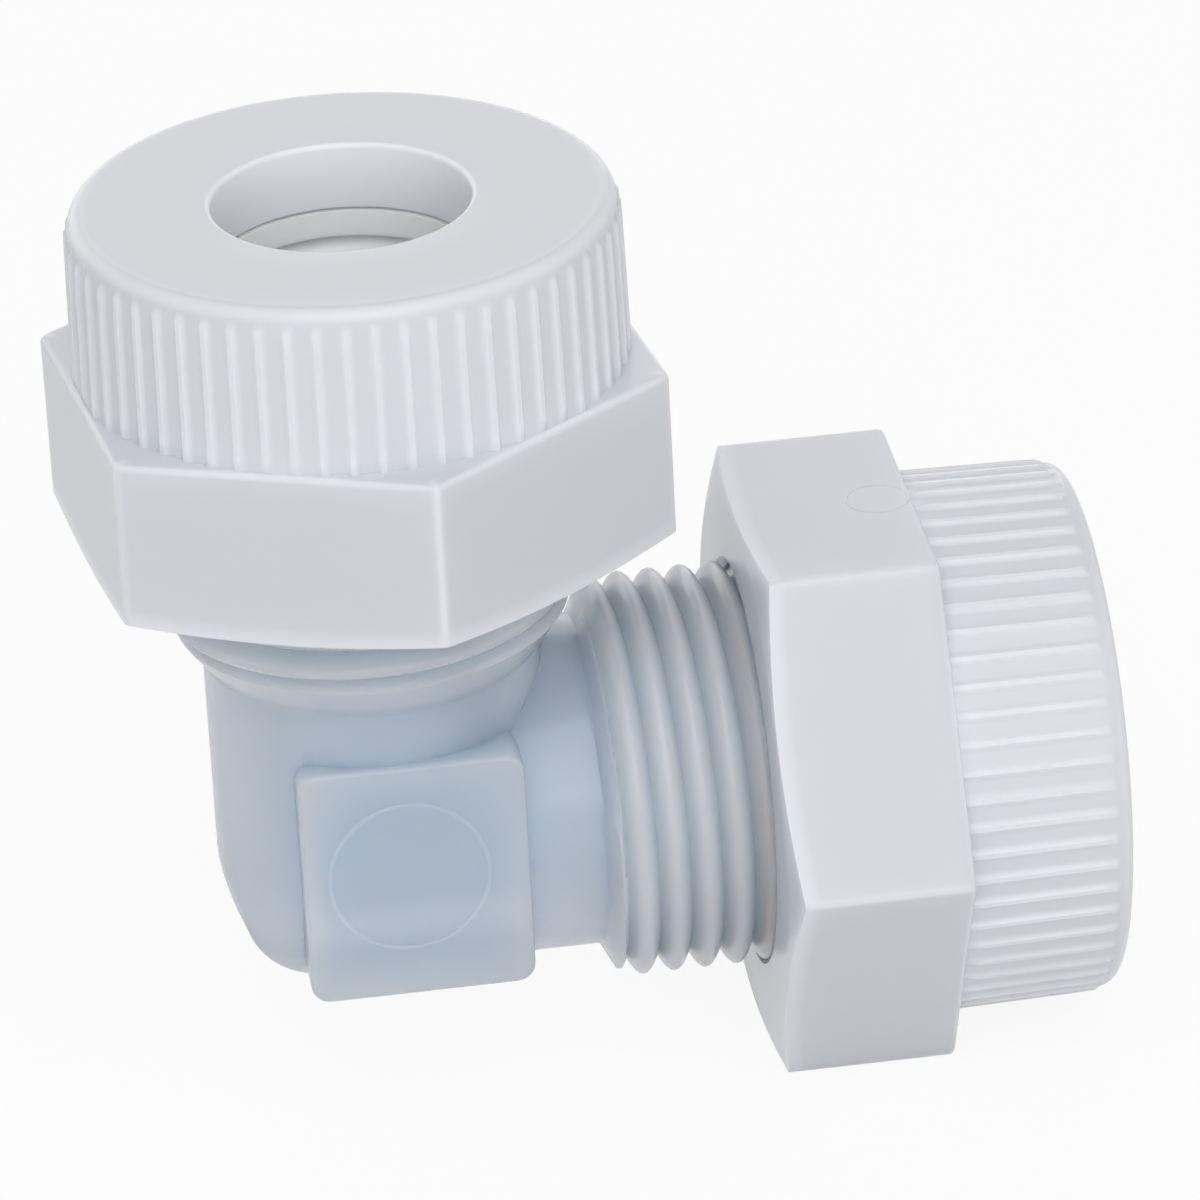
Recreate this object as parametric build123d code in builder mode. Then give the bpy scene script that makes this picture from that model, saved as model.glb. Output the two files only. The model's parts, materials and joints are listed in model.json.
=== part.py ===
"""Union elbow for plastic tube: a threaded elbow body, two ribbed hexagon nuts and two ferrules a port.

The origin is where the axes of the two legs cross. One leg points up along +Z, the other along +X.
The front of the fitting, with its wrench pad, looks along -Y.
"""

import os
from math import cos, radians, tan

from build123d import *

os.makedirs("parts", exist_ok=True)

# Tube that the fitting takes, and how freely each bore takes it
tube_diameter = 12.7
socket_clearance = 0.05
ferrule_clearance = 0.1
hole_clearance = 0.2

# Elbow body: legs, corner, wrench pads and ways through
leg_radius = 8.65
leg_length = 27.0
neck_length = 10.3
corner_round = 7.0
pad_proud = 0.45
pad_outer_side = 5.0
pad_inner_side = 6.6
pad_bottom = 6.6
pad_top = 6.5
pad_corner_round = 1.0
pad_edge_round = 0.4
flow_diameter = 9.5
socket_depth = 14.0
mouth_radius = 8.2
mouth_half_angle = 30.0
lead_bevel = 0.4

# Coarse screw thread of the legs and the play of the nuts on it
thread_pitch = 1.64
crest_radius = 10.5
thread_depth = 1.1
crest_width = 0.42
root_width = 0.24
thread_phase = 11.52
thread_play = 0.2
female_depth = 0.85
ridge_sink = 0.12
ridge_end_margin = 1.0

# Nut: hexagon, ribbed cap, tube hole and inner chambers
across_flats = 28.6
hexagon_length = 9.35
hexagon_corner_round = 0.4
hexagon_edge_round = 0.35
bearing_inset = 0.3
chamfer_angle = 13.0
chamfer_reach = 1.0
cap_radius = 13.95
cap_length = 8.7
cap_draft = 1.2
cap_rim_round = 0.8
rib_count = 60
rib_width = 0.6
rib_height = 0.22
rib_edge_bevel = 0.1
rib_root_depth = 0.4
rib_end_margin = 0.9
hole_length = 3.5
hole_edge_round = 0.3
chamber_clearance = 0.3

# Ferrules, and the small gaps between pieces that only press together when the nut is tight
ferrule_radius = 9.2
nose_land = 0.25
front_ferrule_rim = 0.75
back_ferrule_rim = 0.7
recess_width = 1.55
nose_length = 0.7
seat_gap = 0.15
ferrule_gap = 0.1

# How the two nuts stand: the turn of each hexagon on its leg, and how far the side nut is screwed back
hexagon_turn = 38.0
side_nut_turned_back = 622.0

# Radii and heights that follow, measured along a leg from the crossing of the axes
tube_radius = tube_diameter / 2
socket_radius = tube_radius + socket_clearance
ferrule_bore = tube_radius + ferrule_clearance
hole_radius = tube_radius + hole_clearance
flow_radius = flow_diameter / 2
root_radius = crest_radius - thread_depth
socket_floor = leg_length - socket_depth
cone_slope = tan(radians(mouth_half_angle))
cone_start = leg_length - (mouth_radius - socket_radius) / cone_slope

# Front ferrule: its cone lies a small gap inside the cone of the mouth
cone_gap = seat_gap / cos(radians(mouth_half_angle))
nose_tip = cone_start + (ferrule_bore + nose_land + cone_gap - socket_radius) / cone_slope
cone_end = cone_start + (ferrule_radius + cone_gap - socket_radius) / cone_slope
front_rear = cone_end + front_ferrule_rim
recess_radius = ferrule_bore + recess_width
recess_floor = front_rear - recess_width

# Back ferrule: its nose points into the recess of the front ferrule
back_front = front_rear + ferrule_gap
back_rear = back_front + back_ferrule_rim
back_tip = back_front - nose_length
nose_gap = ferrule_gap / cos(radians(45))
nose_base_radius = ferrule_bore + (back_front - recess_floor) - nose_gap
nose_tip_radius = ferrule_bore + (back_tip - recess_floor) - nose_gap

# Nut: its shoulder presses on the back ferrule
shoulder = back_rear + seat_gap
cap_end = shoulder + hole_length
hexagon_end = cap_end - cap_length
bearing_face = hexagon_end - hexagon_length
hexagon_radius = across_flats / 2 / cos(radians(30))
bearing_radius = across_flats / 2 - bearing_inset
chamfer_height = (hexagon_radius + chamfer_reach - bearing_radius) * tan(radians(chamfer_angle))
draft_slope = tan(radians(cap_draft))
cap_end_radius = cap_radius - cap_length * draft_slope
chamber_radius = ferrule_radius + chamber_clearance
thread_bore_end = leg_length + seat_gap + chamber_clearance

# Ridges of the thread. The nut's ridge lies in the leg's groove with the play on every side
flank_slope = (thread_pitch - root_width - crest_width) / thread_depth
flank_play = thread_play * (1 + (flank_slope / 2) ** 2) ** 0.5
thread_bore = crest_radius + thread_play
female_base = thread_bore + ridge_sink
female_tip = thread_bore - female_depth
male_base = root_radius - ridge_sink


def groove_width(radius):
    """Width of the leg's groove at a radius, flank to flank."""
    return thread_pitch - crest_width - flank_slope * (crest_radius - radius)


# Planes of the two legs, and of the side nut with its ferrules, which have moved out along the thread
top_leg = Plane.XY
side_leg = Plane((0, 0, 0), x_dir=(0, 1, 0), z_dir=(1, 0, 0))
side_nut_travel = thread_pitch * side_nut_turned_back / 360
side_ferrule_seat = side_leg.offset(side_nut_travel)
side_nut_seat = Plane(side_ferrule_seat.location * Rotation(0, 0, side_nut_turned_back))


def along(leg):
    """The half plane through a leg's axis on which its round forms are drawn: radius, then height."""
    return Plane(leg.origin, x_dir=leg.x_dir, z_dir=-leg.y_dir)


def thread_ridge(base_radius, base_width, tip_radius, tip_width, start, end):
    """One ridge wound right-handed round +Z, from its base, which is sunk in a wall, to its tip."""
    with BuildLine() as winding:
        Helix(thread_pitch, end - start, base_radius, center=(0, 0, start))
    with BuildPart() as ridge:
        with BuildSketch(Plane((base_radius, 0, start), x_dir=(1, 0, 0), z_dir=(0, -1, 0))):
            with BuildLine():
                Polyline(
                    (0, base_width / 2),
                    (tip_radius - base_radius, tip_width / 2),
                    (tip_radius - base_radius, -tip_width / 2),
                    (0, -base_width / 2),
                    close=True,
                )
            make_face()
        sweep(path=winding.line, is_frenet=True)
    return ridge.part


# Male ridge on the legs, and female ridge in the nuts, half a pitch beside it
male_ridge = thread_ridge(
    male_base,
    thread_pitch - groove_width(male_base),
    crest_radius,
    crest_width,
    thread_phase,
    leg_length - lead_bevel - thread_pitch / 2,
)
female_first = thread_phase + thread_pitch / 2
female_start = female_first + thread_pitch * ((bearing_face + ridge_end_margin - female_first) // thread_pitch + 1)
female_ridge = thread_ridge(
    female_base,
    groove_width(female_base) - 2 * flank_play,
    female_tip,
    groove_width(female_tip) - 2 * flank_play,
    female_start,
    thread_bore_end - ridge_end_margin,
)

# Square wrench pads, front and back, as one block through the corner
with BuildPart() as pad_block:
    with BuildSketch(Plane.XZ):
        with Locations(((pad_inner_side - pad_outer_side) / 2, (pad_top - pad_bottom) / 2)):
            RectangleRounded(pad_outer_side + pad_inner_side, pad_top + pad_bottom, pad_corner_round)
    extrude(amount=leg_radius + pad_proud, both=True)
    fillet(pad_block.faces().filter_by(Axis.Y).edges(), pad_edge_round)

# Elbow body: the corner is two cylinders mitred together, with its outer edge rounded
with BuildPart() as elbow_body:
    with BuildSketch(Plane.XZ) as corner_outline:
        Rectangle(2 * leg_radius, 2 * leg_radius)
        outer_corner = corner_outline.vertices().sort_by(Axis.X)[:2].sort_by(Axis.Y)[:1]
        fillet(outer_corner, corner_round)
    extrude(amount=leg_radius, both=True)
    with BuildSketch(Plane.XY):
        Circle(leg_radius)
    extrude(amount=leg_radius, both=True, mode=Mode.INTERSECT)
    with BuildSketch(Plane.YZ):
        Circle(leg_radius)
    extrude(amount=leg_radius, both=True, mode=Mode.INTERSECT)
    add(pad_block.part)

    # Legs: a plain neck, a bevel up to the thread's root, the ridge and a bevelled end
    for leg in (top_leg, side_leg):
        leg_axis = Axis(leg.origin, leg.z_dir)
        with BuildSketch(along(leg)):
            with BuildLine():
                Polyline(
                    (0, 0),
                    (leg_radius, 0),
                    (leg_radius, neck_length),
                    (root_radius, neck_length + root_radius - leg_radius),
                    (root_radius, leg_length - lead_bevel),
                    (root_radius - lead_bevel, leg_length),
                    (0, leg_length),
                    close=True,
                )
            make_face()
        revolve(axis=leg_axis)
        with Locations(leg):
            add(male_ridge)

    # Way through each leg: flow bore, tube socket and conical mouth
    Sphere(flow_radius, mode=Mode.SUBTRACT)
    for leg in (top_leg, side_leg):
        with BuildSketch(along(leg)):
            with BuildLine():
                Polyline(
                    (0, 0),
                    (flow_radius, 0),
                    (flow_radius, socket_floor),
                    (socket_radius, socket_floor),
                    (socket_radius, cone_start),
                    (mouth_radius, leg_length),
                    (0, leg_length),
                    close=True,
                )
            make_face()
        revolve(axis=Axis(leg.origin, leg.z_dir), mode=Mode.SUBTRACT)

elbow_body.part.label = "elbow_body"
export_step(elbow_body.part, "parts/elbow_body.step")

# One rib of the nut's cap, leaning in with the cap's draft
rib_end = cap_end - rib_end_margin
with BuildPart() as rib:
    with BuildSketch(Plane.XZ):
        with BuildLine():
            Polyline(
                (cap_end_radius - rib_root_depth, hexagon_end - hexagon_edge_round),
                (cap_radius + rib_height, hexagon_end - hexagon_edge_round),
                (cap_end_radius + rib_height, rib_end - rib_height),
                (cap_end_radius - rib_root_depth, rib_end + rib_root_depth),
                close=True,
            )
        make_face()
    extrude(amount=rib_width / 2, both=True)
    rib_back = rib.faces().sort_by(Axis.X)[-1]
    chamfer(rib_back.edges().sort_by(SortBy.LENGTH)[-2:], rib_edge_bevel)

# Nut, at home on the top leg: a hexagon with a turned chamfer on its bearing side, and a ribbed cap
with BuildPart() as nut:
    with BuildSketch(Plane.XY.offset(bearing_face)):
        RegularPolygon(hexagon_radius, 6, rotation=hexagon_turn)
    extrude(amount=hexagon_length)
    fillet(nut.edges().filter_by(Axis.Z), hexagon_corner_round)
    fillet(nut.edges().group_by(Axis.Z)[-1], hexagon_edge_round)
    with BuildSketch(along(top_leg)):
        with BuildLine():
            Polyline(
                (0, bearing_face),
                (bearing_radius, bearing_face),
                (hexagon_radius + chamfer_reach, bearing_face + chamfer_height),
                (hexagon_radius + chamfer_reach, hexagon_end),
                (0, hexagon_end),
                close=True,
            )
        make_face()
    revolve(axis=Axis.Z, mode=Mode.INTERSECT)

    # Round cap with its rounded rim, then the ribs round it
    with BuildSketch(along(top_leg)) as cap_section:
        with BuildLine():
            Polyline(
                (0, hexagon_end - hexagon_edge_round),
                (cap_radius, hexagon_end - hexagon_edge_round),
                (cap_end_radius, cap_end),
                (0, cap_end),
                close=True,
            )
        make_face()
        fillet(cap_section.vertices().group_by(Axis.Y)[-1].sort_by(Axis.X)[-1], cap_rim_round)
    revolve(axis=Axis.Z)
    with PolarLocations(0, rib_count):
        add(rib.part)

    # Inside: thread bore with its ridge, ferrule chamber, shoulder and tube hole
    with BuildSketch(along(top_leg)):
        with BuildLine():
            Polyline(
                (0, bearing_face),
                (thread_bore, bearing_face),
                (thread_bore, thread_bore_end),
                (chamber_radius, thread_bore_end),
                (chamber_radius, shoulder),
                (hole_radius, shoulder),
                (hole_radius, cap_end),
                (0, cap_end),
                close=True,
            )
        make_face()
    revolve(axis=Axis.Z, mode=Mode.SUBTRACT)
    fillet(nut.edges().filter_by(GeomType.CIRCLE).group_by(Axis.Z)[-1].sort_by(SortBy.RADIUS)[0], hole_edge_round)
    add(female_ridge)

# Front ferrule: a double ring with a long cone that seals in the mouth of the leg
with BuildPart() as front_ferrule:
    with BuildSketch(along(top_leg)):
        with BuildLine():
            Polyline(
                (ferrule_bore, nose_tip),
                (ferrule_bore + nose_land, nose_tip),
                (ferrule_radius, cone_end),
                (ferrule_radius, front_rear),
                (recess_radius, front_rear),
                (ferrule_bore, recess_floor),
                close=True,
            )
        make_face()
    revolve(axis=Axis.Z)

# Back ferrule: a thin ring whose nose wedges under the front ferrule and grips the tube
with BuildPart() as back_ferrule:
    with BuildSketch(along(top_leg)):
        with BuildLine():
            Polyline(
                (ferrule_bore, back_tip),
                (nose_tip_radius, back_tip),
                (nose_base_radius, back_front),
                (ferrule_radius, back_front),
                (ferrule_radius, back_rear),
                (ferrule_bore, back_rear),
                close=True,
            )
        make_face()
    revolve(axis=Axis.Z)

# The same nut and ferrules stand on both legs
seats = {
    "top_nut": (nut, top_leg),
    "top_front_ferrule": (front_ferrule, top_leg),
    "top_back_ferrule": (back_ferrule, top_leg),
    "side_nut": (nut, side_nut_seat),
    "side_front_ferrule": (front_ferrule, side_ferrule_seat),
    "side_back_ferrule": (back_ferrule, side_ferrule_seat),
}
for piece_name, (pattern, seat) in seats.items():
    with BuildPart(seat) as piece:
        add(pattern.part)
    piece.part.label = piece_name
    export_step(piece.part, f"parts/{piece_name}.step")
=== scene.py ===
import json
import math

import bmesh
import bpy
import numpy as np
from mathutils import Matrix, Vector


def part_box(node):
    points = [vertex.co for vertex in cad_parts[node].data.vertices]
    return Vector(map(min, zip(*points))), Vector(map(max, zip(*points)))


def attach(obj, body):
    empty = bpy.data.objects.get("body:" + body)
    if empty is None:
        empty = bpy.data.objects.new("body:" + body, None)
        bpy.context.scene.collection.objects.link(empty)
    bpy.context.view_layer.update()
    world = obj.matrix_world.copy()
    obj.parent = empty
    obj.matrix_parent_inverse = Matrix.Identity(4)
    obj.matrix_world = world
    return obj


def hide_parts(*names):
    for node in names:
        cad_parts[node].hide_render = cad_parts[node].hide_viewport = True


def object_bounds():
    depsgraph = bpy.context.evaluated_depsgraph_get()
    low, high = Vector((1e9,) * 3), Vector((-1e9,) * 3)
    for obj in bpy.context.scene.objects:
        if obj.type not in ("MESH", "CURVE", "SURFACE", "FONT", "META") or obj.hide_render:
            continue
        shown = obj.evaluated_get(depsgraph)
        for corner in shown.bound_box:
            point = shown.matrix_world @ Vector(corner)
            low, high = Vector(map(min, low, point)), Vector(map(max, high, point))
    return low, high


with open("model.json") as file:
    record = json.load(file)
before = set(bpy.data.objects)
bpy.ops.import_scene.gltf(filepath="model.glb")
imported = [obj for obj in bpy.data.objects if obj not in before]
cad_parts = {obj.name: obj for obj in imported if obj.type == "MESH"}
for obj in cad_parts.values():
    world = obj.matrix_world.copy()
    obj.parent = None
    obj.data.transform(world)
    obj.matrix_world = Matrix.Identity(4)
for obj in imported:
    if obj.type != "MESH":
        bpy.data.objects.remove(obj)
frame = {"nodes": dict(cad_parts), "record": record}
cad_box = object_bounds()

# The elbow body is one moulding of PFA, a milky bluish fluoropolymer: two legs mitred at a right angle,
# a coarse round-crested thread on each leg and a square wrench pad on the front and back of the corner.
# It is injected in a two-part mould with a core pin in each leg, so its skin is smooth and its edges soft.
mm = 0.001
body_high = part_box("elbow_body")[1]
leg_radius = 8.65 * mm
leg_length = body_high.z
neck_end = 9.3 * mm
thread_pitch = 1.64 * mm
thread_phase = 11.52 * mm
side_thread_shift = thread_pitch / 4
thread_depth = 1.1 * mm
crest_radius = body_high.y
root_radius = crest_radius - thread_depth
crest_fullness = 0.85
end_bevel = 0.9 * mm
top_run_in = (9.4 * mm, 0.7)
side_run_in = (10.6 * mm, 2.0)
corner_round = 7.0 * mm
corner_soft = 4.0 * mm
corner_ramp = 0.3
crease_round = 0.12 * mm
mitre_bead = 0.1 * mm
mitre_ramp = 3
tube_port = next(m for m in frame["record"]["mounts"] if m["name"] == "top_tube_port")
socket_radius = tube_port["dims"]["r_mm"] * mm
socket_floor = 13.0 * mm
cone_start = tube_port["pos_m"][2] + tube_port["dims"]["length_mm"] * mm / 2
mouth_radius = 8.2 * mm
flow_radius = 4.75 * mm
pad_proud = 0.45 * mm
pad_root = leg_radius * 0.6
pad_outer_side = 5.0 * mm
pad_inner_side = 6.6 * mm
pad_bottom = 6.6 * mm
pad_top = 6.5 * mm
pad_corner_round = 1.0 * mm
pad_edge_round = 0.25 * mm
ring_centre = Vector((0.4 * mm, -leg_radius - pad_proud, 0.25 * mm))
ring_radius, ring_width, ring_rise = 4.1 * mm, 0.22 * mm, 0.05 * mm
# Painted light in the body's colour: the pads and the outer and lower sides of the necks painted paler, the
# thread painted paler to fill its shade, and a painted highlight along each crest.
pad_painted_light, neck_painted_light_from = 0.35, 0.5
thread_painted_light, thread_painted_light_over = 0.75, 1.0 * mm
crest_painted_highlight, crest_painted_highlight_power = 0.25, 6
body_around = 360
bend_rows = 9
neck_rows = 10
rows_a_pitch = 10
flow_shares = (0.35, 0.7, 1.0)
pad_corner_steps, pad_edge_steps = 6, 4
ring_around, ring_sides = 96, 8
weld_distance = 0.002 * mm
smooth_below = math.radians(40)


def mesh_piece(name, points, faces, body, painted_light=None):
    """A piece from points and faces that rides on a body, with each point's painted light if given."""
    mesh = bpy.data.meshes.new(name)
    mesh.from_pydata([tuple(p) for p in points], [], [tuple(f) for f in faces])
    if painted_light is not None:
        mesh.attributes.new("painted_light", "FLOAT", "POINT").data.foreach_set("value", painted_light)
    mesh.validate()
    piece = bpy.data.objects.new(name, mesh)
    bpy.context.scene.collection.objects.link(piece)
    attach(piece, body)
    return piece


def settle_mesh(piece):
    """Close points welded, normals outward, and smooth shading except across sharp edges."""
    work = bmesh.new()
    work.from_mesh(piece.data)
    bmesh.ops.remove_doubles(work, verts=work.verts, dist=weld_distance)
    bmesh.ops.dissolve_degenerate(work, edges=work.edges, dist=weld_distance)
    bmesh.ops.recalc_face_normals(work, faces=work.faces)
    work.to_mesh(piece.data)
    work.free()
    piece.data.shade_smooth()
    piece.data.set_sharp_from_angle(angle=smooth_below)


def ring_faces(start, row_count, around, helix_start, helix_end, lead_rows):
    """Faces between rows of points; rows of a helix close on those one pitch, or lead_rows, further on."""
    faces = []
    for row in range(row_count - 1):
        for step in range(around):
            pair = [row, row + 1]
            if step == around - 1 and helix_start <= row and row + 1 < helix_end:
                pair = [min(max(r + lead_rows, helix_start), helix_end - 1) for r in pair]
            near, far = start + row * around, start + (row + 1) * around
            after_near, after_far = (start + r * around + (step + 1) % around for r in pair)
            faces.append((near + step, after_near, after_far, far + step))
    return faces


def thread_radius(height, crest_height, run_in, steepness):
    """Radius of the male thread: round crests and sharp roots, faded in from the neck and out at the end."""
    swell = np.abs(np.cos(np.pi * (height - crest_height) / thread_pitch)) ** crest_fullness
    radius = root_radius + thread_depth * swell
    fade_in = leg_radius + np.maximum(height - run_in, 0) * steepness
    fade_out = crest_radius - end_bevel + (leg_length - height)
    return np.minimum(np.minimum(radius, fade_in), fade_out)


def corner_bend(turn):
    """Radius of the bend between the legs: wide over the outer corner, nearly sharp in the crotch."""
    outer = np.maximum(-np.cos(turn), 0)
    cut_share = 1 - math.sqrt(0.5)
    wide = (leg_radius * outer - leg_radius + corner_round * cut_share) / cut_share
    soft = corner_soft * np.minimum(outer / corner_ramp, 1)
    return np.maximum(np.maximum(wide, soft), crease_round)


def leg_rows(winding):
    """Rows round one leg, mitre to mitre, as place across, front to back and along it, and its painted
    light.

    Also where the thread's helix starts and ends among them.
    """
    turn = np.linspace(0, 2 * np.pi, body_around, endpoint=False)
    edge, side, flat = leg_radius * np.cos(turn), leg_radius * np.sin(turn), 0 * turn
    bend = corner_bend(turn)
    bead = mitre_bead * np.clip(mitre_ramp * np.cos(turn), 0, 1)
    # Painted light: the neck painted paler on its outer side, which is the lower side of the level leg.
    neck_painted_light = pad_painted_light * np.clip(neck_painted_light_from - np.cos(turn), 0, 1)
    rows = []
    for lean in np.linspace(math.pi / 4, 0, bend_rows):
        lift = flat if rows else bead
        across = edge + bend * (1 - math.cos(lean)) + lift
        along = edge + bend * (1 - math.sin(lean)) + lift
        rows.append((across, side, along, neck_painted_light))
    for share in np.linspace(0, 1, neck_rows + 1)[1:]:
        rows.append((edge, side, (edge + bend) * (1 - share) + neck_end * share, neck_painted_light))
    helix_start = len(rows)
    lead = winding * thread_pitch * turn / (2 * np.pi)
    run_in, steepness = top_run_in
    if winding < 0:
        lead = lead + side_thread_shift
        run_in, steepness = side_run_in
    crest = thread_phase + lead
    first = math.floor((neck_end - thread_phase) / thread_pitch - 1) * rows_a_pitch
    last = math.ceil((leg_length - thread_phase) / thread_pitch + 1) * rows_a_pitch
    for step in range(first, last):
        height = np.clip(crest + step * thread_pitch / rows_a_pitch, neck_end, leg_length)
        reach = thread_radius(height, crest, run_in, steepness)
        out = np.maximum(reach - root_radius, 0) / thread_depth
        # Painted light: the thread painted paler to fill its shade, and a painted highlight along each
        # crest.
        on_thread = np.clip((height - run_in) / thread_painted_light_over, 0, thread_painted_light)
        painted_light = np.maximum(neck_painted_light, on_thread + crest_painted_highlight * out**crest_painted_highlight_power)
        rows.append((reach * np.cos(turn), reach * np.sin(turn), height, painted_light))
    helix_end = len(rows)
    # The mouth and the socket's walls are painted fully pale to fill their shade; the flow bore below them
    # is not.
    for reach, height in (
        (mouth_radius, leg_length),
        (socket_radius, cone_start),
        (socket_radius, (cone_start + socket_floor) / 2),
        (socket_radius, socket_floor),
        (flow_radius, socket_floor),
    ):
        rows.append((reach * np.cos(turn), reach * np.sin(turn), height + flat, flat + 1))
    inner = flow_radius * np.cos(turn)
    for share in flow_shares:
        rows.append((inner, flow_radius * np.sin(turn), socket_floor * (1 - share) + inner * share, flat))
    return rows, helix_start, helix_end


def body_shell():
    """Points and faces of both legs, welded later along the mitre, and each point's painted light."""
    points, faces, painted_lights = [], [], []
    for winding in (1, -1):
        start = len(points) * body_around
        rows, helix_start, helix_end = leg_rows(winding)
        for across, side, along, painted_light in rows:
            ring = (across, side, along) if winding > 0 else (along, side, across)
            points.append(np.stack(ring, axis=1))
            painted_lights.append(painted_light)
        faces += ring_faces(start, len(rows), body_around, helix_start, helix_end, winding * rows_a_pitch)
    return np.concatenate(points), faces, np.concatenate(painted_lights)


def wrench_pad(side):
    """The slab of one wrench pad, front or back, with its edges rounded as the mould leaves them."""
    outer = leg_radius + pad_proud
    low = Vector((-pad_outer_side, min(side * outer, side * pad_root), -pad_bottom))
    high = Vector((pad_inner_side, max(side * outer, side * pad_root), pad_top))
    work = bmesh.new()
    bmesh.ops.create_cube(work, size=2, matrix=Matrix.Diagonal((high - low) / 2).to_4x4())
    bmesh.ops.translate(work, verts=work.verts, vec=(high + low) / 2)
    deep = [e for e in work.edges if abs((e.verts[0].co - e.verts[1].co).y) > (outer - pad_root) / 2]
    round_off = {"profile": 0.5, "affect": "EDGES"}
    bmesh.ops.bevel(work, geom=deep, offset=pad_corner_round, segments=pad_corner_steps, **round_off)
    face_edges = [e for e in work.edges if all(v.co.y * side > outer - weld_distance for v in e.verts)]
    bmesh.ops.bevel(work, geom=face_edges, offset=pad_edge_round, segments=pad_edge_steps, **round_off)
    # The bevel numbers its points differently from run to run, so they are put in order of place.
    ordered = sorted(work.verts, key=lambda v: [round(c / weld_distance) for c in v.co])
    points = [v.co.copy() for v in ordered]
    number = {v: i for i, v in enumerate(ordered)}
    faces = []
    for face in work.faces:
        ring = [number[v] for v in face.verts]
        first = ring.index(min(ring))
        faces.append(ring[first:] + ring[:first])
    work.free()
    return points, sorted(faces)


def mould_ring(centre, across, up, radius, width, rise):
    """A fine raised ring that a mould insert leaves on a flat face with those two directions."""
    points, faces = [], []
    for step in range(ring_around):
        angle = 2 * math.pi * step / ring_around
        out = across * math.cos(angle) + up * math.sin(angle)
        for side in range(ring_sides):
            lean = 2 * math.pi * (side + 0.5) / ring_sides
            lift = across.cross(up) * rise * math.sin(lean)
            points.append(centre + out * (radius + width / 2 * math.cos(lean)) + lift)
            near, far = step * ring_sides, (step + 1) % ring_around * ring_sides
            after = (side + 1) % ring_sides
            faces.append((near + side, far + side, far + after, near + after))
    return points, faces


def union_with(piece, tool):
    """The tool's solid fused into the piece, and the tool taken away."""
    fuse = piece.modifiers.new("union", "BOOLEAN")
    fuse.operation = "UNION"
    fuse.solver = "MANIFOLD"
    fuse.object = tool
    fused = bpy.data.meshes.new_from_object(piece.evaluated_get(bpy.context.evaluated_depsgraph_get()))
    piece.modifiers.clear()
    piece.data = fused
    bpy.data.objects.remove(tool)


points, faces, painted_light = body_shell()
elbow = mesh_piece("elbow_body_shell", points, faces, "body", painted_light)
settle_mesh(elbow)
# The wrench pads and the mould ring on them are painted paler, as painted light.
for side in (-1, 1):
    points, faces = wrench_pad(side)
    union_with(elbow, mesh_piece("wrench_pad", points, faces, "body", [pad_painted_light] * len(points)))
pad_across, pad_up = Vector((1, 0, 0)), Vector((0, 0, 1))
points, faces = mould_ring(ring_centre, pad_across, pad_up, ring_radius, ring_width, ring_rise)
union_with(elbow, mesh_piece("mould_ring", points, faces, "body", [pad_painted_light] * len(points)))
settle_mesh(elbow)
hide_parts("elbow_body")


def linear(code):
    """Linear colour of an sRGB hex code."""
    shares = [int(code[i:i + 2], 16) / 255 for i in (1, 3, 5)]
    return [s / 12.92 if s <= 0.04045 else ((s + 0.055) / 1.055) ** 2.4 for s in shares] + [1.0]


def new_material(name):
    """An empty node material and its tree."""
    material = bpy.data.materials.new(name)
    material.use_nodes = True
    material.node_tree.nodes.clear()
    return material, material.node_tree


def add_node(tree, kind, settings=None, links=None):
    """One node of a tree: settings for its sockets, by name or number, or attributes, and links to it."""
    node = tree.nodes.new(kind)
    for name, value in (settings or {}).items():
        if isinstance(name, int) or name in node.inputs:
            node.inputs[name].default_value = value
        else:
            setattr(node, name, value)
    for name, source in (links or {}).items():
        tree.links.new(source, node.inputs[name])
    return node


# Natural PFA: pale blue-grey, milky and partly clear. Light wanders a few millimetres inside it. A per-point
# value on the
# mesh paints light into the colour: a painted highlight on each crest, the pads painted paler, the outer and
# lower sides of the necks painted paler, and the thread and the socket's walls painted paler to fill their
# shade. The moulded skin is smooth and a little glossy, with clouds about 7 mm wide and a faint unevenness
# about 1 mm wide.
cloud_size = 7.14 * mm
polish_size = 1.11 * mm
polish_depth = 0.05 * mm
clear_share = 0.4
# Where a node that mixes colours takes its two colours and gives the mix.
colour_a, colour_b, colour_out = 6, 7, 2
body_pfa, tree = new_material("natural PFA, moulded smooth")
place = add_node(tree, "ShaderNodeTexCoord").outputs["Object"]
cloud = add_node(tree, "ShaderNodeTexNoise", {"Scale": 1 / cloud_size, "Detail": 1}, {"Vector": place})
tint = add_node(
    tree,
    "ShaderNodeMix",
    {"data_type": "RGBA", colour_a: linear("#c3d0de"), colour_b: linear("#cad6e2")},
    {"Factor": cloud.outputs["Fac"]},
)
# Painted light: the per-point value mixes the tint towards a near-white blue, for the painted highlights and
# the shade filled in.
painted_light_values = add_node(tree, "ShaderNodeAttribute", {"attribute_name": "painted_light"})
pale = add_node(
    tree,
    "ShaderNodeMix",
    {"data_type": "RGBA", colour_b: linear("#e8eff7")},
    {"Factor": painted_light_values.outputs["Fac"], colour_a: tint.outputs[colour_out]},
)
polish = add_node(tree, "ShaderNodeTexNoise", {"Scale": 1 / polish_size, "Detail": 1}, {"Vector": place})
skin = add_node(
    tree,
    "ShaderNodeBump",
    {"Strength": 0.06, "Distance": polish_depth},
    {"Height": polish.outputs["Fac"]},
)
milk = add_node(
    tree,
    "ShaderNodeBsdfPrincipled",
    {
        "Roughness": 0.22,
        "IOR": 1.35,
        "Coat Weight": 0.8,
        "Coat Roughness": 0.12,
        "Coat IOR": 1.35,
        "Subsurface Weight": 1.0,
        "Subsurface Radius": (0.75, 0.9, 1.0),
        "Subsurface Scale": 6.0 * mm,
    },
    {"Base Color": pale.outputs[colour_out], "Normal": skin.outputs["Normal"]},
)
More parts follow.
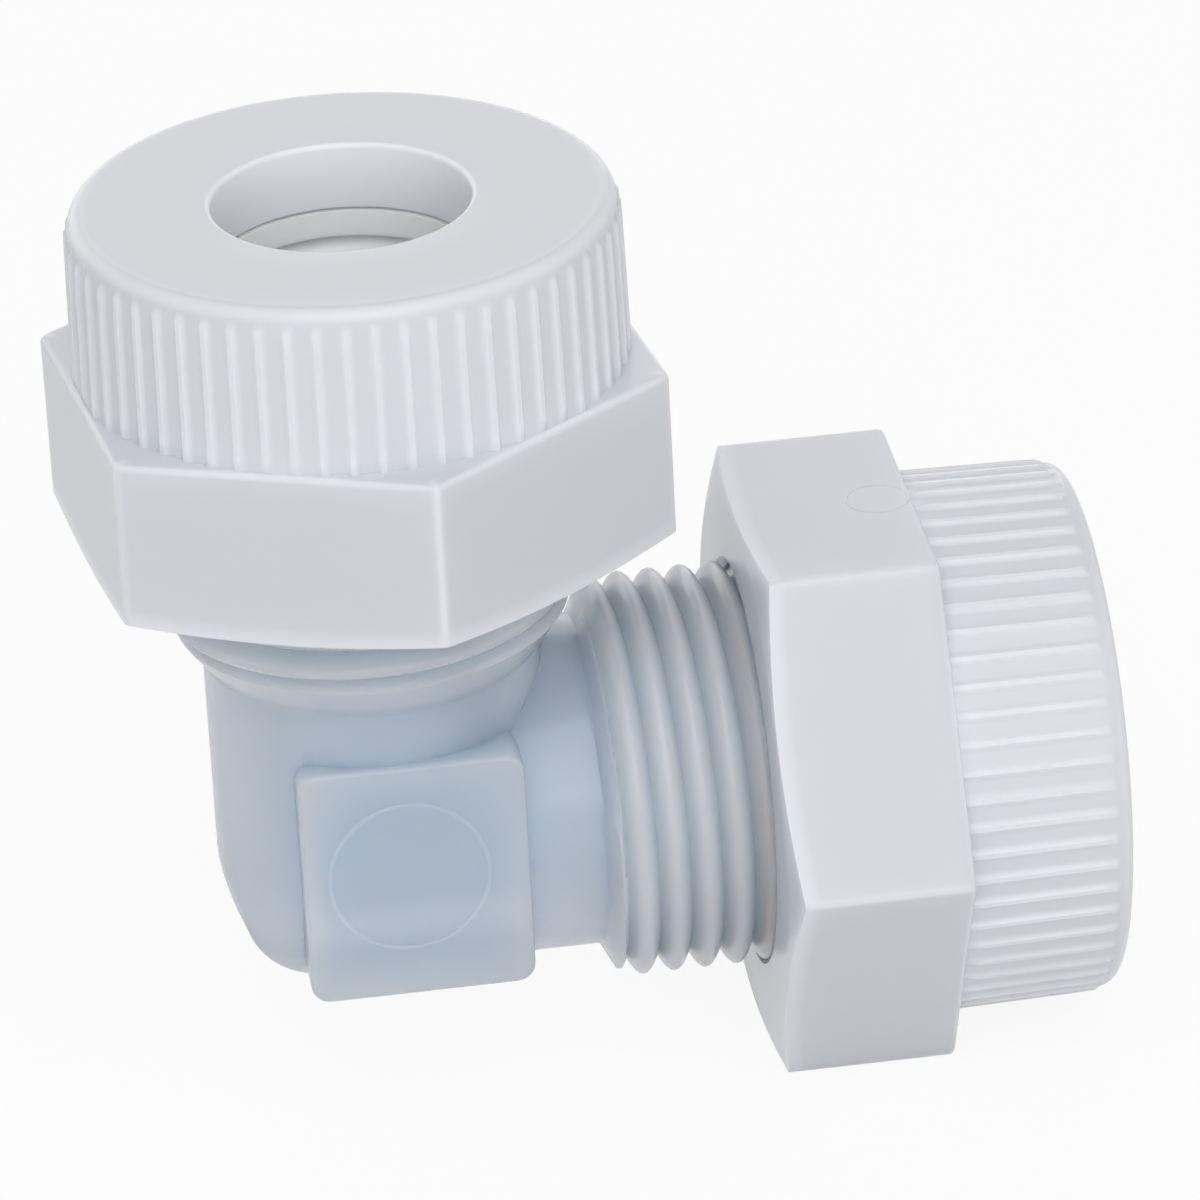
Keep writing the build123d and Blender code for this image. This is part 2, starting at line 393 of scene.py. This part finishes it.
clear = add_node(
    tree,
    "ShaderNodeBsdfPrincipled",
    {"Base Color": linear("#f4f8fc"), "Roughness": 0.55, "IOR": 1.35, "Transmission Weight": 1.0},
    {"Normal": skin.outputs["Normal"]},
)
plastic = add_node(
    tree,
    "ShaderNodeMixShader",
    {"Fac": clear_share},
    {1: milk.outputs["BSDF"], 2: clear.outputs["BSDF"]},
)
add_node(tree, "ShaderNodeOutputMaterial", None, {"Surface": plastic.outputs["Shader"]})
elbow.data.materials.clear()
elbow.data.materials.append(body_pfa)

# The two nuts are one and the same moulding of opal white PFA: a hexagon for the wrench, a ribbed round cap
# for the fingers and a tube hole in the cap's end. Each screws on its leg and presses the two ferrules home.
top_low, top_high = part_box("top_nut")
bearing_face, cap_end = top_low.z, top_high.z
across_flats = 28.6 * mm
hexagon_length = 9.35 * mm
hexagon_end = bearing_face + hexagon_length
hexagon_turn = math.radians(38)
hexagon_corner_round = 0.42 * mm
hexagon_edge_round = 0.35 * mm
sixth = math.pi / 3
bearing_radius = across_flats / 2 - 0.3 * mm
chamfer_slope = math.tan(math.radians(13))
cap_radius = 13.95 * mm
cap_slope = math.tan(math.radians(1.2))
cap_rim_round = 0.8 * mm
rim_start = cap_end - cap_rim_round
rib_count = 60
rib_width = 0.46 * mm
rib_soft = 0.2 * mm
rib_height = 0.2 * mm
rib_end_margin = 0.9 * mm
rib_end_round = 0.35 * mm
rib_foot_rise = 0.6 * mm
hole_radius = 6.55 * mm
hole_length = 3.5 * mm
hole_edge_round = 0.3 * mm
chamber_radius = 9.5 * mm
thread_bore = crest_radius + 0.2 * mm
thread_bore_end = leg_length + 0.45 * mm
female_depth = 0.85 * mm
female_end_fade = 0.8 * mm
side_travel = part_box("side_nut")[0].x - bearing_face
side_turn = side_travel / thread_pitch * 2 * math.pi
gate_turn = {"top_nut": math.radians(68), "side_nut": math.radians(188)}
gate_height = 23.75 * mm
gate_radius, gate_width, gate_rise = 1.6 * mm, 0.16 * mm, 0.04 * mm
# Painted light in the nuts' colour: painted highlights along the corners, top edges, ribs, rim and hole
# edge, the cap a little paler, and the bearing chamfer and the bore painted paler to fill their shade.
chamfer_painted_light, corner_painted_highlight, edge_painted_highlight = 0.4, 0.5, 0.35
corner_painted_highlight_width = 0.2 * mm
cap_painted_light, rib_painted_highlight, rim_painted_highlight, rim_painted_highlight_end = 0.1, 0.3, 0.35, 1.2
bore_painted_light = 0.8
chamfer_rows, wall_rows, edge_rows, ledge_rows = 4, 9, 5, 3
cap_rows, rim_rows, hole_edge_rows = 11, 12, 6
rim_row_gap = 0.3 * mm
cap_face_shares = (0.04, 0.3, 0.7)
columns_a_rib = 12
corner_columns = np.radians([-1.5, -0.7, -0.35, 0, 0.35, 0.7, 1.5])
nut_rows_a_pitch = 5


def off_corner(turn):
    """Angle from the nearest corner of the hexagon."""
    return np.abs((turn - hexagon_turn + sixth / 2) % sixth - sixth / 2)


def hexagon_reach(turn):
    """Radius of the hexagon's wall, with its six corners rounded."""
    half, soft, off = across_flats / 2, hexagon_corner_round, off_corner(turn)
    pivot = (half - soft) / math.cos(sixth / 2)
    flat = half / np.cos(sixth / 2 - off)
    arc = pivot * np.cos(off) + np.sqrt(np.maximum(soft**2 - (pivot * np.sin(off)) ** 2, 0))
    meets = math.atan2(soft / 2, pivot + soft * math.cos(sixth / 2))
    return np.where(off < meets, arc, flat)


def rib_swell(turn, height):
    """How far the ribs stand out of the cap's wall."""
    half_gap = math.pi / rib_count
    off = np.abs((turn + half_gap) % (2 * half_gap) - half_gap) * cap_radius
    shape = np.clip((rib_width / 2 + rib_soft / 2 - off) / rib_soft, 0, 1)
    end = np.clip((cap_end - rib_end_margin - height) / rib_end_round, 0, 1)
    return rib_height * shape**2 * (3 - 2 * shape) * np.sqrt(end * (2 - end))


def hexagon_rows(turn):
    """Rows of radius, height and painted light up the hexagon, from its bearing face to the cap's foot."""
    wall, flat = hexagon_reach(turn), 0 * turn
    # Painted light up the hexagon: a painted highlight along the six corners and the top edges, and the
    # bearing chamfer painted paler to fill its shade.
    corner = corner_painted_highlight * np.exp(-((off_corner(turn) * across_flats / 2 / corner_painted_highlight_width) ** 2))
    rows = [(bearing_radius + flat, bearing_face + flat, flat)]
    for share in np.linspace(0, 1, chamfer_rows + 1)[1:]:
        reach = bearing_radius + (wall - bearing_radius) * share
        height = bearing_face + (reach - bearing_radius) * chamfer_slope
        rows.append((reach, height, flat + chamfer_painted_light * share**4))
    low = rows[-1][1]
    for share in np.linspace(0, 1, wall_rows + 1)[1:]:
        rows.append((wall, low + (hexagon_end - hexagon_edge_round - low) * share, corner))
    for lean in np.linspace(0, math.pi / 2, edge_rows + 1)[1:]:
        reach = wall - hexagon_edge_round * (1 - math.cos(lean))
        height = hexagon_end + hexagon_edge_round * (math.sin(lean) - 1)
        rows.append((reach, height + flat, np.maximum(edge_painted_highlight * math.sin(2 * lean), corner)))
    ledge = rows[-1][0]
    foot = np.minimum(cap_radius + rib_swell(turn, hexagon_end), ledge)
    for share in np.linspace(0, 1, ledge_rows + 1)[1:]:
        rows.append((ledge + (foot - ledge) * share, hexagon_end + flat, flat))
    return rows


def cap_rows_up(turn, foot):
    """Rows up the ribbed cap, over its rim and in across its end to the edge of the tube hole."""
    flat, rows = 0 * turn, []
    heights = np.linspace(hexagon_end, rim_start - rim_row_gap, cap_rows + 1)[1:]
    for height in np.append(heights, rim_start):
        grown = np.clip((height - hexagon_end) / rib_foot_rise, 0, 1)
        swell = rib_swell(turn, height)
        reach = cap_radius - (height - hexagon_end) * cap_slope + swell
        # Painted light: the cap painted a little paler, with a painted highlight on each rib.
        painted_light = cap_painted_light + rib_painted_highlight * swell / rib_height
        rows.append((foot * (1 - grown) + reach * grown, height + flat, painted_light))
    rim_radius = cap_radius - (rim_start - hexagon_end) * cap_slope
    for lean in np.linspace(0, math.pi / 2, rim_rows + 1)[1:]:
        height = rim_start + cap_rim_round * math.sin(lean)
        reach = rim_radius - cap_rim_round * (1 - math.cos(lean))
        # Painted highlight along the rim's rounding.
        painted_light = cap_painted_light + rim_painted_highlight * math.sin(2 * lean) ** 2 if lean < rim_painted_highlight_end else cap_painted_light
        rows.append((reach + rib_swell(turn, height) * math.cos(lean), height + flat, painted_light + flat))
    for share in cap_face_shares:
        reach = (rim_radius - cap_rim_round) * (1 - share) + (hole_radius + hole_edge_round) * share
        rows.append((reach + flat, cap_end + flat, flat))
    return rows


def bore_rows_down(turn):
    """Rows down the tube hole and the chamber behind it to the end of the thread."""
    flat, rows = 0 * turn, []
    for lean in np.linspace(0, math.pi / 2, hole_edge_rows + 1):
        reach = hole_radius + hole_edge_round * (1 - math.sin(lean))
        height = cap_end - hole_edge_round * (1 - math.cos(lean))
        # Painted light: a painted highlight on the hole's rounded edge, and the hole and chamber painted
        # paler to fill their shade.
        painted_light = max(math.sin(2 * lean), bore_painted_light * math.sin(lean))
        rows.append((reach + flat, height + flat, flat + painted_light))
    shoulder = cap_end - hole_length
    for reach, height in (
        (hole_radius, shoulder),
        (chamber_radius, shoulder),
        (chamber_radius, thread_bore_end),
        (thread_bore, thread_bore_end),
    ):
        rows.append((reach + flat, height + flat, flat + bore_painted_light))
    return rows


def female_rows(turn):
    """Rows down the female thread, whose ridges lie midway between those of the leg."""
    flat, rows = 0 * turn, []
    crest = thread_phase + thread_pitch / 2 + thread_pitch * turn / (2 * math.pi)
    first = math.floor((bearing_face - thread_phase) / thread_pitch - 2) * nut_rows_a_pitch
    last = math.ceil((thread_bore_end - thread_phase) / thread_pitch + 1) * nut_rows_a_pitch
    for step in range(last, first, -1):
        height = np.clip(crest + step * thread_pitch / nut_rows_a_pitch, bearing_face, thread_bore_end)
        swell = np.abs(np.cos(np.pi * (height - crest) / thread_pitch)) ** 2
        to_end = np.minimum(height - bearing_face, thread_bore_end - height)
        fade = np.clip(to_end / female_end_fade, 0, 1)
        rows.append((thread_bore - female_depth * swell * fade, height, flat))
    return rows


def nut_shell(place_point):
    """Points and faces of one nut, closed through its bore, and the painted light at each point."""
    even = np.linspace(0, 2 * math.pi, rib_count * columns_a_rib, endpoint=False)
    corners = hexagon_turn + np.arange(6)[:, None] * sixth + corner_columns
    turn = np.unique(np.concatenate([even, (corners % (2 * math.pi)).ravel()]))
    rows = hexagon_rows(turn)
    rows += cap_rows_up(turn, rows[-1][0])
    rows += bore_rows_down(turn)
    helix_start = len(rows)
    rows += female_rows(turn)
    helix_end = len(rows)
    rows += rows[:1]
    points = np.concatenate([place_point(reach, turn, height) for reach, height, painted_light in rows])
    faces = ring_faces(0, len(rows), len(turn), helix_start, helix_end, -nut_rows_a_pitch)
    return points, faces, np.concatenate([painted_light for reach, height, painted_light in rows])


def on_top_leg(reach, turn, height):
    """Points of the nut on the upright leg."""
    return np.stack([reach * np.cos(turn), reach * np.sin(turn), height], axis=1)


def on_side_leg(reach, turn, height):
    """Points of the nut on the level leg, backed off and turned by the pitch."""
    turned = turn + side_turn
    return np.stack([height + side_travel, reach * np.cos(turned), reach * np.sin(turned)], axis=1)


# Opal white PFA: denser than the body's and nearly neutral. The light that goes in comes out close by, which
# softens the ribs' shadows. A per-point value on the mesh paints light into the colour: painted highlights
# on the ribs, rim, hole edge, top edges and corners, the cap a little paler, and the bearing chamfer and the
# bore painted paler to fill their shade.
# The skin is satin, with a faint unevenness about 1.4 mm wide.
nut_polish_size = 1.43 * mm
nut_pfa, tree = new_material("opal white PFA, moulded satin")
place = add_node(tree, "ShaderNodeTexCoord").outputs["Object"]
polish = add_node(tree, "ShaderNodeTexNoise", {"Scale": 1 / nut_polish_size, "Detail": 1}, {"Vector": place})
skin = add_node(
    tree,
    "ShaderNodeBump",
    {"Strength": 0.06, "Distance": polish_depth},
    {"Height": polish.outputs["Fac"]},
)
# Painted light: the per-point value mixes the base towards near white, for the painted highlights and the
# shade filled in.
painted_light_values = add_node(tree, "ShaderNodeAttribute", {"attribute_name": "painted_light"})
tint = add_node(
    tree,
    "ShaderNodeMix",
    {"data_type": "RGBA", colour_a: linear("#cccfd4"), colour_b: linear("#eeeff3")},
    {"Factor": painted_light_values.outputs["Fac"]},
)
plastic = add_node(
    tree,
    "ShaderNodeBsdfPrincipled",
    {
        "subsurface_method": "BURLEY",
        "Roughness": 0.24,
        "IOR": 1.36,
        "Subsurface Weight": 0.5,
        "Subsurface Radius": (1.0, 1.0, 1.0),
        "Subsurface Scale": 2.5 * mm,
    },
    {"Base Color": tint.outputs[colour_out], "Normal": skin.outputs["Normal"]},
)
add_node(tree, "ShaderNodeOutputMaterial", None, {"Surface": plastic.outputs["BSDF"]})

for nut_name, place_point, axis in (
    ("top_nut", on_top_leg, Vector((0, 0, 1))),
    ("side_nut", on_side_leg, Vector((1, 0, 0))),
):
    points, faces, painted_light = nut_shell(place_point)
    nut = mesh_piece(nut_name + "_shell", points, faces, nut_name, painted_light)
    settle_mesh(nut)
    spot = [np.array([value]) for value in (across_flats / 2, gate_turn[nut_name], gate_height)]
    gate = Vector(place_point(*spot)[0])
    outward = (gate - axis * gate.dot(axis)).normalized()
    points, faces = mould_ring(gate, axis.cross(outward), axis, gate_radius, gate_width, gate_rise)
    union_with(nut, mesh_piece("gate_mark", points, faces, nut_name))
    settle_mesh(nut)
    nut.data.materials.clear()
    nut.data.materials.append(nut_pfa)
    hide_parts(nut_name)

# The ferrules are plain turned rings of the same white fluoropolymer, two a port. The front one seals in the
# mouth of the leg, the back one grips the tube; only the back one's bore shows, deep in the tube hole.
# White PFA: matt from the cutting tool, and light enough inside to keep its shadows pale.
ferrule_pfa, tree = new_material("white PFA, turned")
plastic = add_node(
    tree,
    "ShaderNodeBsdfPrincipled",
    {
        "Base Color": linear("#f6f6f7"),
        "Roughness": 0.45,
        "IOR": 1.36,
        "Subsurface Weight": 1.0,
        "Subsurface Radius": (1.0, 1.0, 1.0),
        "Subsurface Scale": 0.8 * mm,
    },
)
add_node(tree, "ShaderNodeOutputMaterial", None, {"Surface": plastic.outputs["BSDF"]})
for ring_name in ("top_front_ferrule", "top_back_ferrule", "side_front_ferrule", "side_back_ferrule"):
    ring = frame["nodes"][ring_name]
    ring.data.materials.clear()
    ring.data.materials.append(ferrule_pfa)

# The floor is a sheet of matt white paper under the fitting. Seen straight, in a gloss or through the
# plastic it is nearly white, with the fitting's soft shadow on it; to all other light it is plain paper.
floor_half = 3.0
floor_level = cad_box[0][2] - 0.05 * mm
floor_white = 0.9


def seen_rays(tree):
    """1 for rays that the camera sends, straight, by a gloss or through the plastic, and 0 for the rest."""
    path = add_node(tree, "ShaderNodeLightPath")
    seen = path.outputs["Is Camera Ray"]
    for kind in ("Is Glossy Ray", "Is Transmission Ray"):
        either = add_node(tree, "ShaderNodeMath", {"operation": "MAXIMUM"}, {0: seen, 1: path.outputs[kind]})
        seen = either.outputs[0]
    return seen


floor_mesh = bpy.data.meshes.new("floor")
floor_signs = ((-1, -1), (1, -1), (1, 1), (-1, 1))
floor_corners = [(floor_half * x, floor_half * y, floor_level) for x, y in floor_signs]
floor_mesh.from_pydata(floor_corners, [], [(0, 1, 2, 3)])
floor = bpy.data.objects.new("floor", floor_mesh)
bpy.context.scene.collection.objects.link(floor)
paper, tree = new_material("white paper, matt")
white = add_node(tree, "ShaderNodeMath", {"operation": "MULTIPLY", 1: floor_white}, {0: seen_rays(tree)})
matte = add_node(tree, "ShaderNodeBsdfDiffuse", {"Color": linear("#f2f2f2")})
glow = add_node(tree, "ShaderNodeEmission", {"Color": linear("#ffffff"), "Strength": 1.0})
mixed = add_node(
    tree,
    "ShaderNodeMixShader",
    None,
    {"Fac": white.outputs[0], 1: matte.outputs["BSDF"], 2: glow.outputs["Emission"]},
)
add_node(tree, "ShaderNodeOutputMaterial", None, {"Surface": mixed.outputs["Shader"]})
floor_mesh.materials.append(paper)

# The room is an even white light tent with three soft boxes: a broad one in front, behind and just above the
# camera, a wide shallow one overhead, and a large one at the back that shines through the milky body.
# Seen straight, in a gloss or through the plastic, the tent is plain white.
tent_light = 0.5
fitting = Vector((0.01, 0, 0.01))
world = bpy.data.worlds.new("light tent")
bpy.context.scene.world = world
world.use_nodes = True
tree = world.node_tree
tent = tree.nodes["Background"]
tent.inputs["Color"].default_value = linear("#ffffff")
bright = add_node(
    tree,
    "ShaderNodeMapRange",
    {"To Min": tent_light, "To Max": 1.0},
    {"Value": seen_rays(tree)},
)
tree.links.new(bright.outputs[0], tent.inputs["Strength"])


def soft_box(name, place, width, height, power):
    """A soft box that looks at the fitting, with its place and sizes in metres and its power in watts."""
    lamp = bpy.data.lights.new(name, "AREA")
    lamp.shape = "RECTANGLE"
    lamp.size, lamp.size_y, lamp.energy = width, height, power
    holder = bpy.data.objects.new(name, lamp)
    bpy.context.scene.collection.objects.link(holder)
    holder.location = place
    holder.rotation_euler = (fitting - Vector(place)).to_track_quat("-Z", "Y").to_euler()


soft_box("front soft box", (-0.02, -0.55, 0.32), 0.5, 0.5, 1.5)
soft_box("top soft box", (0.02, -0.28, 0.55), 0.5, 0.2, 0.7)
soft_box("back soft box", (-0.1, 0.6, 0.1), 0.8, 0.8, 1.6)

# The camera stands in front and a little to the left, looks down on the fitting with a long lens, and is
# tipped a few degrees so that the upright leg leans out to the left, as in the picture.
aim = Vector((12.323, 2.929, 8.689)) * mm
distance = 415.1 * mm
swing, dip, tip = math.radians(6.9076), math.radians(26.8035), math.radians(2.9934)
look = Vector((math.sin(swing) * math.cos(dip), math.cos(swing) * math.cos(dip), -math.sin(dip)))
level_right = Vector((math.cos(swing), -math.sin(swing), 0))
right = level_right * math.cos(tip) + look.cross(level_right) * math.sin(tip)
up = right.cross(look)
view = bpy.data.cameras.new("camera")
view.sensor_width, view.lens = 36, 240
view.clip_start = 0.01
camera = bpy.data.objects.new("camera", view)
bpy.context.scene.collection.objects.link(camera)
turned = Matrix((right, up, -look)).transposed().to_4x4()
camera.matrix_world = Matrix.Translation(aim - look * distance) @ turned
bpy.context.scene.camera = camera
bpy.context.scene.view_settings.view_transform = "Standard"
